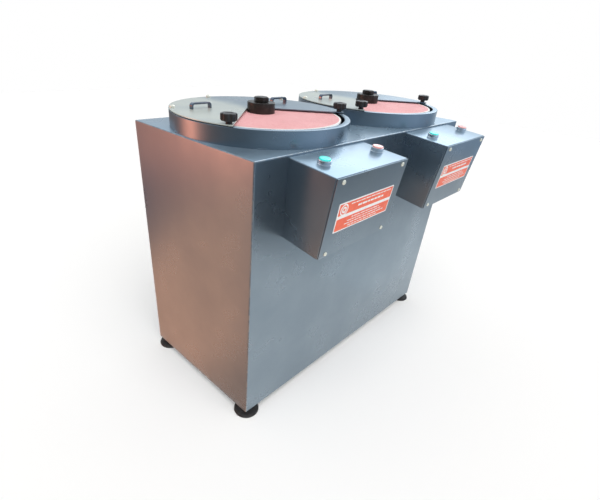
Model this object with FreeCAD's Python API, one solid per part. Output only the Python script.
# Twin-disc sander: a floor-standing sheet-metal cabinet that carries two level sanding discs.
# Each disc spins in its own guard ring under a lift-off cover with a V-shaped work window,
# is driven directly by a motor hung below it, and has its own start/stop box on the front.
# Millimetres. +Z is up, -Y is the operator's side. The shapes are built with y = 0 through
# the two discs' centres and the floor at z = 0, and moved along Y at the end, so that the
# origin is the middle of the whole machine's footprint.
import FreeCAD
import Part
import math
import os

V = FreeCAD.Vector
X_AXIS, Y_AXIS, Z_AXIS = V(1, 0, 0), V(0, 1, 0), V(0, 0, 1)

# ---- driving dimensions -------------------------------------------------------------------
# cabinet
cabinet_width = 920.0
cabinet_depth = 432.0
cabinet_height = 690.0
shell_sheet = 2.0
fold_radius = 3.0
rear_flange = 24.0          # sheet turned in round the open back
bottom_flange = 50.0        # sheet turned in round the open underside
base_plate_thick = 4.0
rear_panel_sheet = 1.5
rear_panel_margin = 8.0     # from the cabinet's outline to the panel's
# levelling feet
foot_gap = 24.0             # floor to the cabinet's underside
foot_pad_radius = 35.0
foot_inset = 24.0           # cabinet face to foot centre
foot_stud_radius = 6.0
foot_stud_inside = 40.0     # stud above the base plate
foot_travel = 15.0
# sanding stations
ring_radius = 221.0
ring_spacing = 32.0         # between the two rings
station_shift = 2.0         # middle between the rings to the right of the cabinet's middle
ring_height = 37.5
ring_wall = 4.0
rim_width = 14.0
rim_thick = 4.0
fixing_inset = 9.0          # ring's outside to the circle of the cover's screws and knobs
gasket_thick = 2.0
gasket_inset = 2.5
cover_thick = 2.5
window_half_angle = 49.0    # window edge against the line to the operator
window_clearance = 2.0      # clamp flange to window edge
abrasive_thick = 1.5
abrasive_below_rim = 1.5
abrasive_bore_radius = 20.0
platen_gap = 8.0            # rim to platen
abrasive_inset = 1.0        # platen's edge to the abrasive's
platen_thick = 12.0
hub_radius = 32.0
hub_length = 49.0
clamp_flange_radius = 34.0
clamp_flange_height = 24.0
clamp_bolt_radius = 11.0
clamp_bolt_flats = 32.0
clamp_bolt_head = 11.5
clamp_bolt_length = 44.0
# knobs, screws and handles on the cover
knob_angle = 61.5           # from the line to the operator
knob_radius = 17.5
knob_height = 12.0
knob_neck_radius = 7.0
knob_neck_height = 9.0
knob_stud_radius = 4.0
knob_stud_length = 14.0
cover_screw_angles = (30.0, 90.0, 150.0)
m6_screw = (3.0, 6.5, 5.5)  # thread radius, head radius, head height
m5_screw = (2.5, 4.9, 3.2)
handle_centre = (131.0, 68.0)   # from the disc's centre, to each side and back
handle_length = 56.0
handle_width = 11.0
handle_height = 14.0
handle_strap = 4.0
# motors
shaft_radius = 12.0
shaft_into_hub = 34.0
bridge_width = 260.0
bridge_plate = 8.0
bridge_drop = 40.0          # cabinet top's underside to the face the motor hangs from
motor_flange_radius = 100.0
motor_flange_thick = 12.0
motor_spigot_radius = 65.0
motor_spigot_height = 3.5
motor_bolt_circle = 82.5
motor_bolt_radius = 5.0
shield_depth = 32.0
frame_length = 180.0
frame_bore_radius = 70.0
frame_wall = 6.0
fin_height = 10.0
fin_count = 30
stator_length = 110.0
winding_overhang = 22.0
rotor_radius = 44.5
rotor_length = 112.0
air_gap = 0.8
bearing_sizes = ((12.5, 26.0, 15.0), (10.0, 23.5, 14.0))   # bore, outer radius, width: top, bottom
cowl_radius = 90.0
cowl_length = 74.0
cowl_sheet = 1.5
fan_radius = 66.0
fan_blades = 8
# control boxes
box_shifts = (3.0, 11.0)    # box centre to the right of its disc's: left box, right box
box_width = 268.0
box_sheet = 1.6
box_below_top = 5.0
box_top_depth = 122.0
box_top_fall = 11.0
box_bottom_depth = 101.0
box_front_bottom = 192.0    # from the box's top at the cabinet down to its front bottom edge
box_bottom_fall = 14.0
box_front_flange = 26.0
lid_thick = 2.5
lid_margin = 1.0
lid_screw_from_side = 22.0
lid_screw_from_end = 10.0
label_from_side = 29.0
label_height = 67.0
label_thick = 0.8
button_from_side = 37.0
bezel_radius = 14.5
bezel_height = 11.0
barrel_radius = 11.0
barrel_length = 22.0
button_radius = 12.7
button_proud = 3.0
button_travel = 4.0
# wiring
contactor_size = (45.0, 78.0, 56.0)
overload_size = (45.0, 70.0, 44.0)
terminal_box_size = (90.0, 50.0, 84.0)
cable_radius = 4.5
cable_below_top = 166.0     # cabinet top to the motor cable
cable_bend = 28.0
gland_above_bottom = 76.0
gland_bore_radius = 5.0
gland_thread_radius = 10.0

# fits
clearance = 0.3             # between pieces that move past each other
running = 0.05              # shaft in its bearings
bolt_clearance = 0.1        # bolt in its own hole

# ---- worked-out places --------------------------------------------------------------------
cabinet_bottom = foot_gap
cabinet_top = cabinet_bottom + cabinet_height
half_width = cabinet_width / 2
front_y = -ring_radius      # the rings stand flush with the cabinet's front
back_y = front_y + cabinet_depth
station_x = ring_radius + ring_spacing / 2
inner_top = cabinet_top - shell_sheet
ring_top = cabinet_top + ring_height
cover_bottom = ring_top + gasket_thick
cover_top = cover_bottom + cover_thick
fixing_radius = ring_radius - fixing_inset
platen_radius = ring_radius - rim_width - platen_gap
abrasive_radius = platen_radius - abrasive_inset
abrasive_top = ring_top - abrasive_below_rim
platen_top = abrasive_top - abrasive_thick
platen_bottom = platen_top - platen_thick
hub_bottom = platen_bottom - hub_length
shaft_top = hub_bottom + shaft_into_hub
window_offset = clamp_flange_radius + window_clearance
clamp_top = abrasive_top + clamp_flange_height
motor_face = inner_top - bridge_drop
frame_top = motor_face - shield_depth
frame_bottom = frame_top - frame_length
core_middle = (frame_top + frame_bottom) / 2
rear_shield_depth = 22.0
rear_shield_bottom = frame_bottom - rear_shield_depth
cowl_bottom = frame_bottom - cowl_length
fan_bottom = rear_shield_bottom - 32.0
stations = {"left": station_shift - station_x, "right": station_shift + station_x}
box_centres = {side: x + shift for (side, x), shift in zip(stations.items(), box_shifts)}
box_back_top = V(0, front_y, cabinet_top - box_below_top)
box_front_top = box_back_top + V(0, -box_top_depth, -box_top_fall)
box_front_low = box_back_top + V(0, -box_bottom_depth, -box_front_bottom)
box_back_low = V(0, front_y, box_front_low.z + box_bottom_fall)
front_run = box_front_top - box_front_low
front_length = front_run.Length
front_lean = math.degrees(math.atan2(-front_run.y, front_run.z))
top_lean = math.degrees(math.atan2(box_top_fall, box_top_depth))
button_offset = box_width / 2 - button_from_side
cable_height = cabinet_top - cable_below_top
overload_bottom = cable_height + cable_bend + 12
gland_height = cabinet_bottom + gland_above_bottom

parts = {}


# ---- shape helpers ------------------------------------------------------------------------
def box(x0, x1, y0, y1, z0, z1):
    return Part.makeBox(x1 - x0, y1 - y0, z1 - z0, V(x0, y0, z0))


def cylinder(radius, z0, z1, x=0.0, y=0.0):
    return Part.makeCylinder(radius, z1 - z0, V(x, y, z0))


def cylinder_y(radius, y0, y1, x, z):
    return Part.makeCylinder(radius, y1 - y0, V(x, y0, z), Y_AXIS)


def turned(profile, x=0.0, y=0.0):
    """A solid of revolution about a vertical axis, from (radius, height) corners."""
    points = [V(r, 0, z) for r, z in profile]
    face = Part.Face(Part.makePolygon(points + points[:1]))
    solid = face.revolve(V(0, 0, 0), Z_AXIS, 360)
    solid.translate(V(x, y, 0))
    return solid


def hexagon(across_flats, z0, z1, x=0.0, y=0.0):
    radius = across_flats / math.sqrt(3)
    points = [V(x + radius * math.cos(math.radians(60 * i)),
                y + radius * math.sin(math.radians(60 * i)), z0) for i in range(6)]
    return Part.Face(Part.makePolygon(points + points[:1])).extrude(V(0, 0, z1 - z0))


def side_prism(corners, x0, x1):
    """A prism along X from (y, z) corners."""
    points = [V(x0, y, z) for y, z in corners]
    return Part.Face(Part.makePolygon(points + points[:1])).extrude(V(x1 - x0, 0, 0))


def fused(*shapes):
    shapes = list(shapes)
    return shapes[0].multiFuse(shapes[1:]).removeSplitter()


def at_angle(radius, degrees, x=0.0, y=0.0):
    """(x, y) on a circle; 0 degrees is +X."""
    return (x + radius * math.cos(math.radians(degrees)),
            y + radius * math.sin(math.radians(degrees)))


def pipe(points, radius, bend):
    """A round bar or cable along straight runs joined by tangent arcs."""
    edges, start = [], points[0]
    for before, corner, after in zip(points, points[1:], points[2:]):
        along = (corner - before).normalize()
        away = (after - corner).normalize()
        half_turn = along.getAngle(away) / 2
        reach = bend * math.tan(half_turn)
        enter, leave = corner - along * reach, corner + away * reach
        inward = (away - along).normalize()
        middle = corner + inward * (bend / math.cos(half_turn) - bend)
        edges += [Part.LineSegment(start, enter).toShape(), Part.Arc(enter, middle, leave).toShape()]
        start = leave
    edges.append(Part.LineSegment(start, points[-1]).toShape())
    section = Part.Wire(Part.makeCircle(radius, points[0], (points[1] - points[0])))
    return Part.Wire(edges).makePipeShell([section], True, True)


def pan_screw(sizes, length):
    """A pan-head screw, head up from z = 0, shank down."""
    radius, head, height = sizes
    crown = turned([(0, 0), (head, 0), (head, height * 0.45), (head * 0.75, height * 0.9),
                    (head * 0.35, height), (0, height)])
    return fused(crown, cylinder(radius, -length, 0))


def placed(shape, origin, axis=X_AXIS, degrees=0.0):
    moved = shape.copy()
    moved.Placement = FreeCAD.Placement(origin, FreeCAD.Rotation(axis, degrees))
    return moved


def facing_y(shape, origin):
    """Turns a shape built along +Z so that it points along +Y."""
    return placed(shape, origin, X_AXIS, -90)


# ---- cabinet ------------------------------------------------------------------------------
def cabinet_shell():
    """Front, sides and top of folded sheet, open at the back and underneath inside its flanges."""
    shell = box(-half_width, half_width, front_y, back_y, cabinet_bottom, cabinet_top)
    folds = []
    for edge in shell.Edges:
        middle = edge.CenterOfMass
        front_corner = abs(middle.y - front_y) < 1 and abs(abs(middle.x) - half_width) < 1
        on_top = abs(middle.z - cabinet_top) < 1
        if front_corner or on_top:
            folds.append(edge)
    shell = shell.makeFillet(fold_radius, folds)
    s = shell_sheet
    inside = box(-half_width + s, half_width - s, front_y + s, back_y - s,
                 cabinet_bottom + s, cabinet_top - s)
    back_hole = box(-half_width + rear_flange, half_width - rear_flange, back_y - 2 * s,
                    back_y + s, cabinet_bottom + rear_flange, cabinet_top - rear_flange)
    bottom_hole = box(-half_width + bottom_flange, half_width - bottom_flange,
                      front_y + bottom_flange, back_y - bottom_flange,
                      cabinet_bottom - s, cabinet_bottom + 2 * s)
    shell = shell.cut([inside, back_hole, bottom_hole])
    holes = []
    for side, x in stations.items():
        holes.append(cylinder(hub_radius + 6, inner_top - 1, cabinet_top + 1, x))
        holes.append(cylinder_y(cable_radius + 3, front_y - 1, front_y + s + 1,
                                box_centres[side], cable_height))
    for x, y in foot_places().values():
        holes.append(cylinder(foot_stud_radius + clearance, cabinet_bottom - 1, cabinet_bottom + s + 1, x, y))
    for x, z in rear_screw_places():
        holes.append(cylinder_y(m6_screw[0] + bolt_clearance, back_y - s - 1, back_y + 1, x, z))
    return shell.cut(holes)


def foot_places():
    x, y0, y1 = half_width - foot_inset, front_y + foot_inset, back_y - foot_inset
    return {"front_left": (-x, y0), "front_right": (x, y0), "rear_left": (-x, y1), "rear_right": (x, y1)}


def base_plate():
    """Floor of the cabinet, on the turned-in flange, with a weld nut over each foot."""
    gap = 1.0
    low = cabinet_bottom + shell_sheet
    inset = shell_sheet + gap
    plate = box(-half_width + inset, half_width - inset, front_y + inset, back_y - inset,
                low, low + base_plate_thick)
    nut_height = 10.0
    nuts = [hexagon(19, low + base_plate_thick, low + base_plate_thick + nut_height, x, y)
            for x, y in foot_places().values()]
    holes = [cylinder(foot_stud_radius + clearance, low - 1, low + base_plate_thick + nut_height + 1, x, y)
             for x, y in foot_places().values()]
    return fused(plate, *nuts).cut(holes)


def rear_screw_places():
    """(x, z) of the rear panel's screws: down both sides, and along the top and bottom."""
    from_edge = rear_panel_margin + 8.0
    x_side = half_width - from_edge
    z_low, z_high = cabinet_bottom + from_edge, cabinet_top - from_edge
    columns, rows = 4, 3
    places = []
    for i in range(columns):
        x = -x_side + 2 * x_side * i / (columns - 1)
        places += [(x, z_low), (x, z_high)]
    for i in range(1, rows - 1):
        z = z_low + (z_high - z_low) * i / (rows - 1)
        places += [(-x_side, z), (x_side, z)]
    return places


def rear_panel():
    """Screwed-on back with a bank of pressed louvres behind each motor."""
    y0, y1 = back_y, back_y + rear_panel_sheet
    m = rear_panel_margin
    panel = box(-half_width + m, half_width - m, y0, y1, cabinet_bottom + m, cabinet_top - m)
    hood, hood_sheet, length, pitch, count, below_top = 8.0, 1.2, 150.0, 26.0, 8, 190.0
    hoods, slots = [], []
    for x in stations.values():
        for i in range(count):
            z = cabinet_top - below_top - pitch * i
            x0 = x - length / 2
            outer = Part.makeCylinder(hood, length, V(x0, y1, z), X_AXIS)
            inner = Part.makeCylinder(hood - hood_sheet, length - 2 * hood_sheet,
                                      V(x0 + hood_sheet, y1, z), X_AXIS)
            quarter = box(x0, x0 + length, y1 - 0.5, y1 + hood, z, z + hood)
            hoods.append(outer.cut(inner).common(quarter))
            slots.append(box(x0 + hood_sheet, x0 + length - hood_sheet, y0 - 1, y1, z,
                             z + hood - hood_sheet - 0.5))
    panel = panel.cut(slots)
    panel = fused(panel, *hoods)
    holes = [cylinder_y(m6_screw[0] + bolt_clearance, y0 - 1, y1 + 1, x, z) for x, z in rear_screw_places()]
    holes.append(cylinder_y(gland_thread_radius + bolt_clearance, y0 - 1, y1 + 1, 0, gland_height))
    return panel.cut(holes)


def rear_panel_screws():
    screw = pan_screw(m6_screw, 12.0)
    y = back_y + rear_panel_sheet
    return Part.makeCompound([facing_y(screw, V(x, y, z)) for x, z in rear_screw_places()])


def supply_gland():
    """Cable gland in the rear panel, with its lock nut inside; the bore takes the mains lead."""
    nut, collar, dome = 5.0, 8.0, 16.0
    thread_in = rear_panel_sheet + nut + 3.0
    body = fused(cylinder(gland_thread_radius, -thread_in, 0), hexagon(24, 0, collar),
                 turned([(0, collar), (11, collar), (11, collar + 0.6 * dome), (7.5, collar + dome),
                         (0, collar + dome)]))
    lock_nut = hexagon(24, -rear_panel_sheet - nut, -rear_panel_sheet)
    body = body.cut(cylinder(gland_bore_radius, -thread_in - 1, collar + dome + 1))
    lock_nut = lock_nut.cut(cylinder(gland_thread_radius, -thread_in - 1, 0))
    origin = V(0, back_y + rear_panel_sheet, gland_height)
    return Part.makeCompound([facing_y(body, origin), facing_y(lock_nut, origin)])


def levelling_foot(x, y):
    """Moulded pad, hex collar and stud; the collar is screwed up to the cabinet at rest."""
    pad_top, collar_flats = 13.0, 19.0
    pad = turned([(0, 0), (foot_pad_radius, 0), (foot_pad_radius, 5), (foot_pad_radius - 3, 8),
                  (14, pad_top), (0, pad_top)], x, y)
    collar = hexagon(collar_flats, pad_top, cabinet_bottom - clearance, x, y)
    stud_top = cabinet_bottom + shell_sheet + base_plate_thick + foot_stud_inside
    stud = cylinder(foot_stud_radius, pad_top - 4, stud_top, x, y)
    return fused(pad, collar, stud)


# ---- sanding station ----------------------------------------------------------------------
def guard_ring(x):
    """Rolled angle: an upright wall with its rim turned in, holed for the cover's fixings."""
    inner_rim = ring_radius - rim_width
    inner_wall = ring_radius - ring_wall
    ring = turned([(inner_wall, cabinet_top), (ring_radius, cabinet_top), (ring_radius, ring_top),
                   (inner_rim, ring_top), (inner_rim, ring_top - rim_thick),
                   (inner_wall, ring_top - rim_thick)], x)
    return ring.cut(fixing_holes(x, ring_top - rim_thick - 1, ring_top + 1))


def knob_directions():
    return {"outer": -90 - knob_angle, "inner": -90 + knob_angle}


def work_window(x, z0, z1):
    """The V-shaped opening towards the operator, rounded where it passes the clamp flange."""
    half = math.radians(window_half_angle)
    apex_y = window_offset / math.sin(half)
    reach = 2 * ring_radius
    apex = V(x, apex_y, z0)
    left = apex + V(-math.sin(half), -math.cos(half), 0) * reach
    right = apex + V(math.sin(half), -math.cos(half), 0) * reach
    window = Part.Face(Part.makePolygon([apex, left, right, apex])).extrude(V(0, 0, z1 - z0))
    apex_edges = [e for e in window.Edges if abs(e.CenterOfMass.x - x) < 0.01
                  and abs(e.CenterOfMass.y - apex_y) < 0.01 and len(e.Vertexes) == 2
                  and abs(e.Vertexes[0].Z - e.Vertexes[1].Z) > 1]
    return window.makeFillet(window_offset * 0.6, apex_edges)


def fixing_holes(x, z0, z1):
    """Clearance holes for the cover's knob studs and screws."""
    holes = [cylinder(knob_stud_radius + clearance, z0, z1, *at_angle(fixing_radius, a, x))
             for a in knob_directions().values()]
    holes += [cylinder(m6_screw[0] + clearance, z0, z1, *at_angle(fixing_radius, a, x))
              for a in cover_screw_angles]
    return holes


def cover_gasket(x):
    """Rubber strip stuck on the rim, under the cover only."""
    outer, inner = ring_radius - gasket_inset, ring_radius - rim_width + gasket_inset
    strip = cylinder(outer, ring_top, cover_bottom, x).cut(cylinder(inner, ring_top - 1, cover_bottom + 1, x))
    return strip.cut([work_window(x, ring_top - 1, cover_bottom + 1)]
                     + fixing_holes(x, ring_top - 1, cover_bottom + 1))


def cover(x):
    """Flat sheet disc over the whole ring, with a work window that clears the clamp flange."""
    plate = cylinder(ring_radius, cover_bottom, cover_top, x)
    return plate.cut([work_window(x, cover_bottom - 1, cover_top + 1)]
                     + fixing_holes(x, cover_bottom - 1, cover_top + 1))


def cover_handles(x):
    """Two low bow handles bent from flat bar."""
    t, w, h = handle_strap, handle_width / 2, handle_height
    outer = box(-handle_length / 2, handle_length / 2, -w, w, 0, h)
    inner = box(-handle_length / 2 + t, handle_length / 2 - t, -w - 1, w + 1, -1, h - t)
    outer = outer.makeFillet(t + 4, [e for e in outer.Edges if e.CenterOfMass.z > h - 0.01
                                     and abs(e.CenterOfMass.x) > 1])
    inner = inner.makeFillet(4, [e for e in inner.Edges if e.CenterOfMass.z > h - t - 0.01
                                 and abs(e.CenterOfMass.x) > 1])
    bow = outer.cut(inner)
    aside, back = handle_centre
    return Part.makeCompound([placed(bow, V(x + way * aside, back, cover_top)) for way in (-1, 1)])


def cover_screws(x):
    screw = pan_screw(m6_screw, cover_thick + gasket_thick + rim_thick + 3)
    return Part.makeCompound([placed(screw, V(*at_angle(fixing_radius, a, x), cover_top))
                              for a in cover_screw_angles])


def knob(x, angle):
    """Six-lobed clamping knob on a hub, with its stud through the cover and the rim."""
    cx, cy = at_angle(fixing_radius, angle, x)
    neck_top = cover_top + knob_neck_height
    top = neck_top + knob_height
    chamfer = 2.0
    head = turned([(0, neck_top), (knob_radius - chamfer, neck_top), (knob_radius, neck_top + chamfer),
                   (knob_radius, top - chamfer), (knob_radius - chamfer, top), (0, top)], cx, cy)
    lobes, flute_radius = 6, 6.0
    flutes = [cylinder(flute_radius, neck_top - 1, top + 1,
                       *at_angle(knob_radius + flute_radius * 0.72, 360 / lobes * (i + 0.5) + angle, cx, cy))
              for i in range(lobes)]
    neck = cylinder(knob_neck_radius, cover_top + clearance, neck_top + 1, cx, cy)
    stud = cylinder(knob_stud_radius, cover_top - knob_stud_length, cover_top + 1, cx, cy)
    return fused(head.cut(flutes), neck, stud)


def platen(x):
    """Machined aluminium disc and its long hub, bored for the shaft and threaded for the clamp bolt."""
    body = turned([(0, hub_bottom), (hub_radius, hub_bottom), (hub_radius, platen_bottom - 6),
                   (hub_radius + 14, platen_bottom), (platen_radius, platen_bottom),
                   (platen_radius, platen_top - 1), (platen_radius - 1, platen_top), (0, platen_top)], x)
    shaft_hole = cylinder(shaft_radius + bolt_clearance, hub_bottom - 1, shaft_top + 1, x)
    bolt_end = clamp_top - clamp_bolt_length
    bolt_hole = cylinder(clamp_bolt_radius + bolt_clearance, bolt_end - 1, platen_top + 1, x)
    return body.cut([shaft_hole, bolt_hole])


def abrasive_disc(x):
    return cylinder(abrasive_radius, platen_top, abrasive_top, x).cut(
        cylinder(abrasive_bore_radius, platen_top - 1, abrasive_top + 1, x))


def clamp_flange(x):
    """Round clamp with a spigot through the abrasive's bore."""
    spigot = abrasive_bore_radius - bolt_clearance
    edge = 1.5
    body = turned([(0, platen_top), (spigot, platen_top), (spigot, abrasive_top),
                   (clamp_flange_radius, abrasive_top), (clamp_flange_radius, clamp_top - edge),
                   (clamp_flange_radius - edge, clamp_top), (0, clamp_top)], x)
    return body.cut(cylinder(clamp_bolt_radius + bolt_clearance, platen_top - 1, clamp_top + 1, x))


def clamp_bolt(x):
    """Hexagon-head bolt that holds the flange down into the platen's hub."""
    top = clamp_top + clamp_bolt_head
    head = hexagon(clamp_bolt_flats, clamp_top, top, x)
    crown = turned([(0, clamp_top), (clamp_bolt_flats * 0.6, clamp_top), (clamp_bolt_flats * 0.6, top - 2.5),
                    (clamp_bolt_flats * 0.47, top), (0, top)], x)
    shank = cylinder(clamp_bolt_radius, clamp_top - clamp_bolt_length, clamp_top, x)
    return fused(head.common(crown), shank)


# ---- motor --------------------------------------------------------------------------------
def motor_bridge(x):
    """Inverted channel welded under the cabinet top; its web carries the motor."""
    half = bridge_width / 2
    y0, y1 = front_y + shell_sheet + 1, back_y - shell_sheet - 1
    web = box(x - half, x + half, y0, y1, motor_face, motor_face + bridge_plate)
    legs = [box(x0, x0 + bridge_plate, y0, y1, motor_face, inner_top)
            for x0 in (x - half, x + half - bridge_plate)]
    holes = [cylinder(motor_spigot_radius + bolt_clearance, motor_face - 1, motor_face + bridge_plate + 1, x)]
    holes += [cylinder(motor_bolt_radius + bolt_clearance, motor_face - 1, motor_face + bridge_plate + 1, *p)
              for p in motor_bolt_places(x)]
    return fused(web, *legs).cut(holes)


def motor_bolt_places(x):
    return [at_angle(motor_bolt_circle, 45 + 90 * i, x) for i in range(4)]


def motor_bolts(x):
    """Four bolts, heads on the bridge's web and nuts under the motor's flange."""
    head_low = motor_face + bridge_plate
    nut_top = motor_face - motor_flange_thick
    bolts = []
    for px, py in motor_bolt_places(x):
        shank = cylinder(motor_bolt_radius, nut_top - 11, head_low + 1, px, py)
        bolts.append(fused(hexagon(17, head_low, head_low + 6.4, px, py), shank,
                           hexagon(17, nut_top - 8, nut_top, px, py)))
    return bolts


def drive_end_shield(x):
    """Upper end shield with the mounting flange and spigot, bored for the upper bearing."""
    bore, outer, width = bearing_sizes[0]
    seat_top = frame_top + 4 + width
    low = frame_top
    root = frame_bore_radius + frame_wall
    flange_low = motor_face - motor_flange_thick
    spigot_top = motor_face + motor_spigot_height
    body = turned([(0, low), (root, low), (root, low + 8), (outer + 12, flange_low),
                   (motor_flange_radius, flange_low), (motor_flange_radius, motor_face),
                   (motor_spigot_radius, motor_face), (motor_spigot_radius, spigot_top), (0, spigot_top)], x)
    cuts = [cylinder(outer, low - 1, seat_top, x), cylinder(bore + 1.5, low, motor_face + 10, x)]
    cuts += [cylinder(motor_bolt_radius + bolt_clearance, low, motor_face + 1, *p)
             for p in motor_bolt_places(x)]
    return body.cut(cuts)


def motor_frame(x):
    """Finned housing tube."""
    root = frame_bore_radius + frame_wall
    tip = root + fin_height
    points = []
    for i in range(fin_count):
        middle = 360 / fin_count * i
        for radius, turn in ((root, -3.6), (tip, -2.0), (tip, 2.0), (root, 3.6)):
            points.append(V(*at_angle(radius, middle + turn, x), frame_bottom))
    fins = Part.Face(Part.makePolygon(points + points[:1])).extrude(V(0, 0, frame_length))
    return fins.cut(cylinder(frame_bore_radius, frame_bottom - 1, frame_top + 1, x))


def stator(x):
    """Laminated core in the frame, with a ring of windings proud of it at each end."""
    low, high = core_middle - stator_length / 2, core_middle + stator_length / 2
    bore = rotor_radius + air_gap
    coil_in, coil_out = bore + 3, frame_bore_radius - 5
    core = cylinder(frame_bore_radius, low, high, x)
    ends = [turned([(coil_in, z0), (coil_out, z0), (coil_out, z1), (coil_in, z1)], x)
            for z0, z1 in ((low - winding_overhang, low), (high, high + winding_overhang))]
    return fused(core.cut(cylinder(bore, low - 1, high + 1, x)), *ends)


def fan_end_shield(x):
    """Lower end shield, bored for the lower bearing."""
    bore, outer, width = bearing_sizes[1]
    root = frame_bore_radius + frame_wall
    body = turned([(0, frame_bottom), (root, frame_bottom), (root, frame_bottom - 10),
                   (outer + 8, rear_shield_bottom), (0, rear_shield_bottom)], x)
    return body.cut([cylinder(outer, frame_bottom - 4 - width, frame_bottom + 1, x),
                     cylinder(bore + 1.5, rear_shield_bottom - 1, frame_bottom, x)])


def bearings(x):
    rings = []
    lows = (frame_top + 4, frame_bottom - 4 - bearing_sizes[1][2])
    for (bore, outer, width), low in zip(bearing_sizes, lows):
        rings.append(turned([(bore + running, low), (outer, low), (outer, low + width),
                             (bore + running, low + width)], x))
    return rings


def rotor_shaft(x):
    """Stepped shaft with the rotor core pressed on."""
    (top_bore, _, top_width), (low_bore, _, low_width) = bearing_sizes
    core_low, core_high = core_middle - rotor_length / 2, core_middle + rotor_length / 2
    thick = 16.0
    profile = [(0, fan_bottom - 4), (low_bore - 1, fan_bottom - 4), (low_bore - 1, rear_shield_bottom + 1),
               (low_bore, rear_shield_bottom + 1), (low_bore, frame_bottom - 3),
               (thick, frame_bottom + 5), (thick, core_low), (rotor_radius, core_low),
               (rotor_radius, core_high), (thick, core_high), (thick, frame_top - 5),
               (top_bore, frame_top + 3),
               (top_bore, motor_face - 4), (shaft_radius, motor_face - 4), (shaft_radius, shaft_top - 1),
               (shaft_radius - 1, shaft_top), (0, shaft_top)]
    return turned(profile, x)


def motor_fan(x):
    """Radial-bladed cooling fan on the shaft's lower end."""
    bore = bearing_sizes[1][0] - 1 + bolt_clearance
    plate_top = rear_shield_bottom - 5
    hub = cylinder(bore + 6, fan_bottom, plate_top, x)
    plate = cylinder(fan_radius, plate_top - 3, plate_top, x)
    blade = box(bore + 4, fan_radius, -1.2, 1.2, fan_bottom, plate_top - 2)
    blades = []
    for i in range(fan_blades):
        turned_blade = blade.copy()
        turned_blade.rotate(V(0, 0, 0), Z_AXIS, 360 / fan_blades * i)
        turned_blade.translate(V(x, 0, 0))
        blades.append(turned_blade)
    return fused(hub, plate, *blades).cut(cylinder(bore, fan_bottom - 1, plate_top + 1, x))


def fan_cowl(x):
    """Pressed steel cowl over the fan, clipped round the lower shield, with a slotted inlet."""
    s = cowl_sheet
    top = frame_bottom - 1
    root = frame_bore_radius + frame_wall
    cup = turned([(0, cowl_bottom), (cowl_radius - 10, cowl_bottom), (cowl_radius, cowl_bottom + 10),
                  (cowl_radius, top), (cowl_radius - s, top), (cowl_radius - s, cowl_bottom + 10),
                  (cowl_radius - 10, cowl_bottom + s), (0, cowl_bottom + s)], x)
    lugs = []
    slots = []
    for i in range(4):
        lug = box(root, cowl_radius - s / 2, -6, 6, frame_bottom - 9, top)
        lug.rotate(V(0, 0, 0), Z_AXIS, 90 * i)
        lug.translate(V(x, 0, 0))
        lugs.append(lug)
    for i in range(16):
        slot = box(18, 62, -2.5, 2.5, cowl_bottom - 1, cowl_bottom + s + 1)
        slot.rotate(V(0, 0, 0), Z_AXIS, 22.5 * i)
        slot.translate(V(x, 0, 0))
        slots.append(slot)
    return fused(cup, *lugs).cut(slots)


def terminal_box(x, cable_x):
    """Terminal box on the motor's front, with the cable's gland at its foot."""
    width, depth, height = terminal_box_size
    low = cable_height - 22
    back = -math.sqrt((frame_bore_radius + frame_wall + fin_height) ** 2 - (width / 2) ** 2)
    body = box(x - width / 2, x + width / 2, back - depth, back, low, low + height)
    body = body.makeFillet(4, [e for e in body.Edges if abs(e.CenterOfMass.y - (back - depth)) < 1])
    motor_clear = cylinder(frame_bore_radius + frame_wall + fin_height + bolt_clearance,
                           low - 1, low + height + 1, x)
    front = back - depth
    gland = facing_y(fused(hexagon(20, 0, 6), cylinder(8, 0, 14)), V(cable_x, front - 14, cable_height))
    bore = cylinder_y(cable_radius + bolt_clearance, front - 15, front + 8, cable_x, cable_height)
    return fused(body.cut(motor_clear), gland).cut(bore)


def terminal_box_front():
    width, depth, _ = terminal_box_size
    return -math.sqrt((frame_bore_radius + frame_wall + fin_height) ** 2 - (width / 2) ** 2) - depth


def motor_cable(cable_x):
    """From the motor's terminal box, through the cabinet's front, up into the overload relay."""
    turn_y = front_y - cable_bend - 14
    return pipe([V(cable_x, terminal_box_front() + 6, cable_height), V(cable_x, turn_y, cable_height),
                 V(cable_x, turn_y, overload_bottom)], cable_radius, cable_bend)


def wall_grommet(cable_x):
    """Rubber bush in the cabinet's front, round the motor cable."""
    bush = turned([(cable_radius, -3), (cable_radius + 6, -3), (cable_radius + 6, 0), (cable_radius + 3, 0),
                   (cable_radius + 3, shell_sheet), (cable_radius + 6, shell_sheet),
                   (cable_radius + 6, shell_sheet + 3), (cable_radius, shell_sheet + 3)])
    return facing_y(bush, V(cable_x, front_y, cable_height))


# ---- control box --------------------------------------------------------------------------
def box_outline(inset, back):
    """(y, z) corners of the box's side, its top, front and bottom moved in, its back moved back."""
    def line(a, b):
        run = (b - a).normalize()
        return a + V(0, -run.z, run.y) * inset, run

    def cross(one, two):
        (p, d), (q, e) = one, two
        t = ((q.y - p.y) * e.z - (q.z - p.z) * e.y) / (d.y * e.z - d.z * e.y)
        return p + d * t

    top = line(box_back_top, box_front_top)
    front = line(box_front_top, box_front_low)
    bottom = line(box_front_low, box_back_low)
    wall = (V(0, front_y + back, 0), Z_AXIS)
    corners = [cross(wall, top), cross(top, front), cross(front, bottom), cross(bottom, wall)]
    return [(c.y, c.z) for c in corners]


def front_frame(x):
    """Placement with its origin at the middle of the front's top edge, -Y outwards, Z up the face."""
    return FreeCAD.Placement(V(x, box_front_top.y, box_front_top.z), FreeCAD.Rotation(X_AXIS, front_lean))


def top_frame(x):
    """Placement on the middle of the box's top, Z outwards."""
    middle = (box_back_top + box_front_top) * 0.5
    return FreeCAD.Placement(V(x, middle.y, middle.z), FreeCAD.Rotation(X_AXIS, top_lean))


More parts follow.
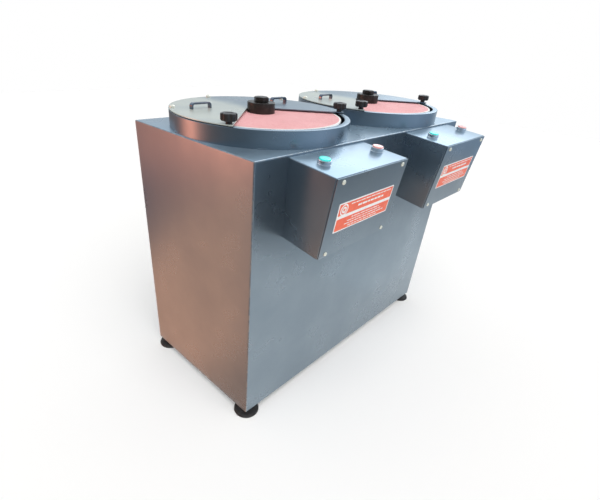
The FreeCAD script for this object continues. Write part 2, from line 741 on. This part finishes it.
def set_in(shape, placement):
    moved = shape.copy()
    moved.Placement = placement.multiply(shape.Placement)
    return moved


def lid_screw_places():
    x = box_width / 2 - lid_screw_from_side
    return [(sx, z) for sx in (-x, x) for z in (-lid_screw_from_end, -front_length + lid_screw_from_end)]


def button_places():
    return {"start": -button_offset, "stop": button_offset}


def control_box(x):
    """Folded box welded to the cabinet's front, open at the back; the front is flanged for the lid."""
    half = box_width / 2
    body = side_prism(box_outline(0, 0), x - half, x + half)
    body = body.cut(side_prism(box_outline(box_sheet, 1), x - half + box_sheet, x + half - box_sheet))
    f = box_front_flange
    opening = box(-half + f, half - f, -2, 2 * box_sheet, -front_length + f, -f)
    holes = [set_in(opening, front_frame(x))]
    for sx, z in lid_screw_places():
        hole = cylinder_y(m5_screw[0] + bolt_clearance, -2, 2 * box_sheet, sx, z)
        holes.append(set_in(hole, front_frame(x)))
    for offset in button_places().values():
        hole = cylinder(barrel_radius + bolt_clearance, -2 * box_sheet, 2, offset)
        holes.append(set_in(hole, top_frame(x)))
    return body.cut(holes)


def control_lid(x):
    half = box_width / 2 - lid_margin
    lid = box(-half, half, -lid_thick, 0, -front_length + lid_margin, -lid_margin)
    lid = lid.makeFillet(1.2, [e for e in lid.Edges if abs(e.CenterOfMass.y + lid_thick) < 0.01])
    lid = lid.cut([cylinder_y(m5_screw[0] + bolt_clearance, -lid_thick - 1, 1, sx, z)
                   for sx, z in lid_screw_places()])
    return set_in(lid, front_frame(x))


def lid_screws(x):
    screw = placed(pan_screw(m5_screw, 10.0), V(0, 0, 0), X_AXIS, 90)
    screws = []
    for sx, z in lid_screw_places():
        one = screw.copy()
        one.translate(V(sx, -lid_thick, z))
        screws.append(set_in(one, front_frame(x)))
    return screws


def label_plate(x):
    width, height = box_width - 2 * label_from_side, label_height
    plate = box(-width / 2, width / 2, -lid_thick - label_thick, -lid_thick,
                -front_length / 2 - height / 2, -front_length / 2 + height / 2)
    middle_y = -lid_thick - label_thick / 2
    plate = plate.makeFillet(2, [e for e in plate.Edges if abs(e.CenterOfMass.y - middle_y) < 0.01])
    return set_in(plate, front_frame(x))


def button_bezel(x, offset):
    """Chromed collar and threaded barrel of a push-button head, with its ring nut under the sheet."""
    cavity_floor = bezel_height + button_proud - button_travel - 6 - 1
    collar = turned([(0, 0), (bezel_radius, 0), (bezel_radius, bezel_height - 1),
                     (bezel_radius - 1, bezel_height), (0, bezel_height)], offset)
    barrel = cylinder(barrel_radius, -barrel_length, 0, offset)
    nut = cylinder(barrel_radius + 3, -box_sheet - 5, -box_sheet, offset)
    hollow = cylinder(button_radius + clearance, cavity_floor, bezel_height + 1, offset)
    bore = cylinder(8 + clearance, -barrel_length - 1, bezel_height, offset)
    return set_in(fused(collar, barrel, nut).cut([hollow, bore]), top_frame(x))


def push_button(x, offset):
    """Coloured cap and its stem."""
    top = bezel_height + button_proud
    cap = turned([(0, top - 6), (button_radius, top - 6), (button_radius, top - 1.2),
                  (button_radius - 1.2, top), (0, top)], offset)
    stem = cylinder(8, -barrel_length + 2, top - 5, offset)
    return set_in(fused(cap, stem), top_frame(x))


def contact_block(x, offset):
    """Switch block clipped under the barrel."""
    top = -barrel_length - button_travel - 1
    body = box(offset - 15, offset + 15, -20, 20, top - 34, top)
    ears = [box(offset + a, offset + b, -14, 14, top - 1, -box_sheet - 6)
            for a, b in ((-15, -12.5), (12.5, 15))]
    yoke = box(offset - 15, offset + 15, -14, 14, -box_sheet - 9, -box_sheet - 6)
    yoke = yoke.cut(cylinder(barrel_radius + bolt_clearance, -box_sheet - 20, 0, offset))
    return set_in(fused(body, yoke, *ears), top_frame(x))


def contactor(x):
    """Motor contactor screwed to the cabinet's front, inside the box."""
    width, depth, height = contactor_size
    y = front_y
    low = overload_bottom + overload_size[2]
    body = box(x - width / 2, x + width / 2, y - depth * 0.7, y, low, low + height)
    face = box(x - width / 2 + 4, x + width / 2 - 4, y - depth, y - depth * 0.7, low + 16, low + height - 16)
    return fused(body, face)


def overload_relay(x):
    width, depth, height = overload_size
    y = front_y
    low = overload_bottom
    body = box(x - width / 2, x + width / 2, y - depth, y, low, low + height)
    dial = cylinder_y(6, y - depth - 2, y - depth, x - 8, low + height * 0.6)
    return fused(body, dial)


# ---- assembly -----------------------------------------------------------------------------
parts["cabinet_shell"] = cabinet_shell()
parts["base_plate"] = base_plate()
parts["rear_panel"] = rear_panel()
parts["rear_panel_screws"] = rear_panel_screws()
parts["supply_gland"] = supply_gland()
for place, (foot_x, foot_y) in foot_places().items():
    parts[place + "_foot"] = levelling_foot(foot_x, foot_y)

shared = {name: [] for name in (
    "cover_gaskets", "motor_bridges", "motor_bolts", "drive_end_shields", "motor_frames", "stators",
    "fan_end_shields", "fan_cowls", "motor_bearings", "terminal_boxes", "motor_cables", "wall_grommets",
    "lid_screws", "label_plates", "button_bezels", "contact_blocks", "contactors", "overload_relays")}
for side, x in stations.items():
    bx = box_centres[side]
    own = {
        "guard_ring": guard_ring(x),
        "cover": cover(x),
        "cover_handles": cover_handles(x),
        "cover_screws": cover_screws(x),
        "platen": platen(x),
        "abrasive_disc": abrasive_disc(x),
        "clamp_flange": clamp_flange(x),
        "clamp_bolt": clamp_bolt(x),
        "rotor_shaft": rotor_shaft(x),
        "motor_fan": motor_fan(x),
        "control_box": control_box(bx),
        "control_lid": control_lid(bx),
    }
    for which, direction in knob_directions().items():
        hand = which if side == "left" else {"outer": "inner", "inner": "outer"}[which]
        own[hand + "_knob"] = knob(x, direction)
    for name, offset in button_places().items():
        own[name + "_button"] = push_button(bx, offset)
        shared["button_bezels"].append(button_bezel(bx, offset))
        shared["contact_blocks"].append(contact_block(bx, offset))
    for name, shape in own.items():
        parts[side + "_" + name] = shape
    shared["cover_gaskets"].append(cover_gasket(x))
    shared["motor_bridges"].append(motor_bridge(x))
    shared["drive_end_shields"].append(drive_end_shield(x))
    shared["motor_frames"].append(motor_frame(x))
    shared["motor_bolts"] += motor_bolts(x)
    shared["stators"].append(stator(x))
    shared["fan_end_shields"].append(fan_end_shield(x))
    shared["fan_cowls"].append(fan_cowl(x))
    shared["motor_bearings"] += bearings(x)
    shared["terminal_boxes"].append(terminal_box(x, bx))
    shared["motor_cables"].append(motor_cable(bx))
    shared["wall_grommets"].append(wall_grommet(bx))
    shared["lid_screws"] += lid_screws(bx)
    shared["label_plates"].append(label_plate(bx))
    shared["contactors"].append(contactor(bx))
    shared["overload_relays"].append(overload_relay(bx))
for name, solids in shared.items():
    parts[name] = Part.makeCompound(solids)

# the origin goes under the middle of the whole machine, front to back
reach = Part.makeCompound(list(parts.values())).optimalBoundingBox(False)
origin_y = (reach.YMin + reach.YMax) / 2
os.makedirs("parts", exist_ok=True)
for name, shape in parts.items():
    shape.translate(V(0, -origin_y, 0))
    shape.exportStep("parts/" + name + ".step")
print(len(parts), "nodes; origin is", round(origin_y, 4), "mm from the discs' centre line along Y")
